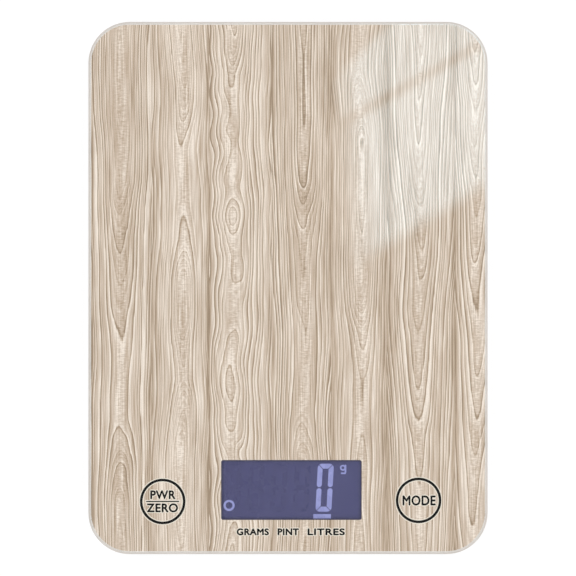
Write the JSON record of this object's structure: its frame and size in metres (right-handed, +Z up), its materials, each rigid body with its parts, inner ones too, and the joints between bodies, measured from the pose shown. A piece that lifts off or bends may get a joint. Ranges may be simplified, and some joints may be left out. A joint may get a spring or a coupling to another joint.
{
  "type": "digital kitchen scale",
  "caption": "Slim digital kitchen scale with a rounded glass platform over a pale wood print, a lit display window, touch keys, padded feet and a hinged battery door.",
  "frame": {"origin": "middle of the footprint on the table plane under the foot pads", "axes": "+X to the right as the display is read, +Y towards the back, away from the display, +Z up"},
  "size_m": [0.15, 0.2, 0.0195],
  "materials": {
    "clear_glass": "polished",
    "printed_film": "printed wood pattern",
    "foam_tape": "matt",
    "moulded_plastic": "satin moulded",
    "screw_steel": "zinc plated",
    "battery_sleeve": "printed sleeve",
    "nickel_strip": "nickel plated",
    "spring_wire": "drawn wire",
    "circuit_board": "solder mask",
    "chip_resin": "moulded",
    "socket_nylon": "moulded",
    "display_glass": "polished",
    "light_guide": "clear moulded",
    "lamp_resin": "clear moulded",
    "contact_rubber": "matt",
    "bezel_plastic": "fine texture",
    "flexure_steel": "stamped",
    "gauge_resin": "poured",
    "pad_rubber": "matt",
    "lead_sleeve": "extruded"
  },
  "bodies": {
    "scale": {"glass_platform": "clear_glass", "print_film": "printed_film", "bond_tape": "foam_tape", "upper_frame": "moulded_plastic", "bottom_cover": "moulded_plastic", "cover_screws": "screw_steel", "board_screws": "screw_steel", "battery_front": "battery_sleeve", "battery_rear": "battery_sleeve", "contact_positive": "nickel_strip", "contact_negative": "nickel_strip", "contact_link": "nickel_strip", "battery_springs": "spring_wire", "left_touch_spring": "spring_wire", "right_touch_spring": "spring_wire", "main_board": "circuit_board", "board_chips": "chip_resin", "lead_sockets": "socket_nylon", "display_glass": "display_glass", "display_backlight": "light_guide", "backlight_leds": "lamp_resin", "display_contacts": "contact_rubber", "display_bezel": "bezel_plastic", "load_cell_leads": "lead_sleeve", "battery_leads": "lead_sleeve", "load_cell_front_left": "flexure_steel", "strain_gauge_front_left": "gauge_resin", "foot_front_left": "moulded_plastic", "foot_pad_front_left": "pad_rubber", "foot_screw_front_left": "screw_steel", "load_cell_front_right": "flexure_steel", "strain_gauge_front_right": "gauge_resin", "foot_front_right": "moulded_plastic", "foot_pad_front_right": "pad_rubber", "foot_screw_front_right": "screw_steel", "load_cell_rear_left": "flexure_steel", "strain_gauge_rear_left": "gauge_resin", "foot_rear_left": "moulded_plastic", "foot_pad_rear_left": "pad_rubber", "foot_screw_rear_left": "screw_steel", "load_cell_rear_right": "flexure_steel", "strain_gauge_rear_right": "gauge_resin", "foot_rear_right": "moulded_plastic", "foot_pad_rear_right": "pad_rubber", "foot_screw_rear_right": "screw_steel"},
    "battery_door": {"battery_door": "moulded_plastic"}
  },
  "joints": [
    {"name": "battery_door_hinge", "type": "hinge", "parent": "scale", "child": "battery_door", "pos_m": [0, 0.0009, 0.001], "axis": [-1, 0, 0], "range_deg": [0, 60]}
  ]
}
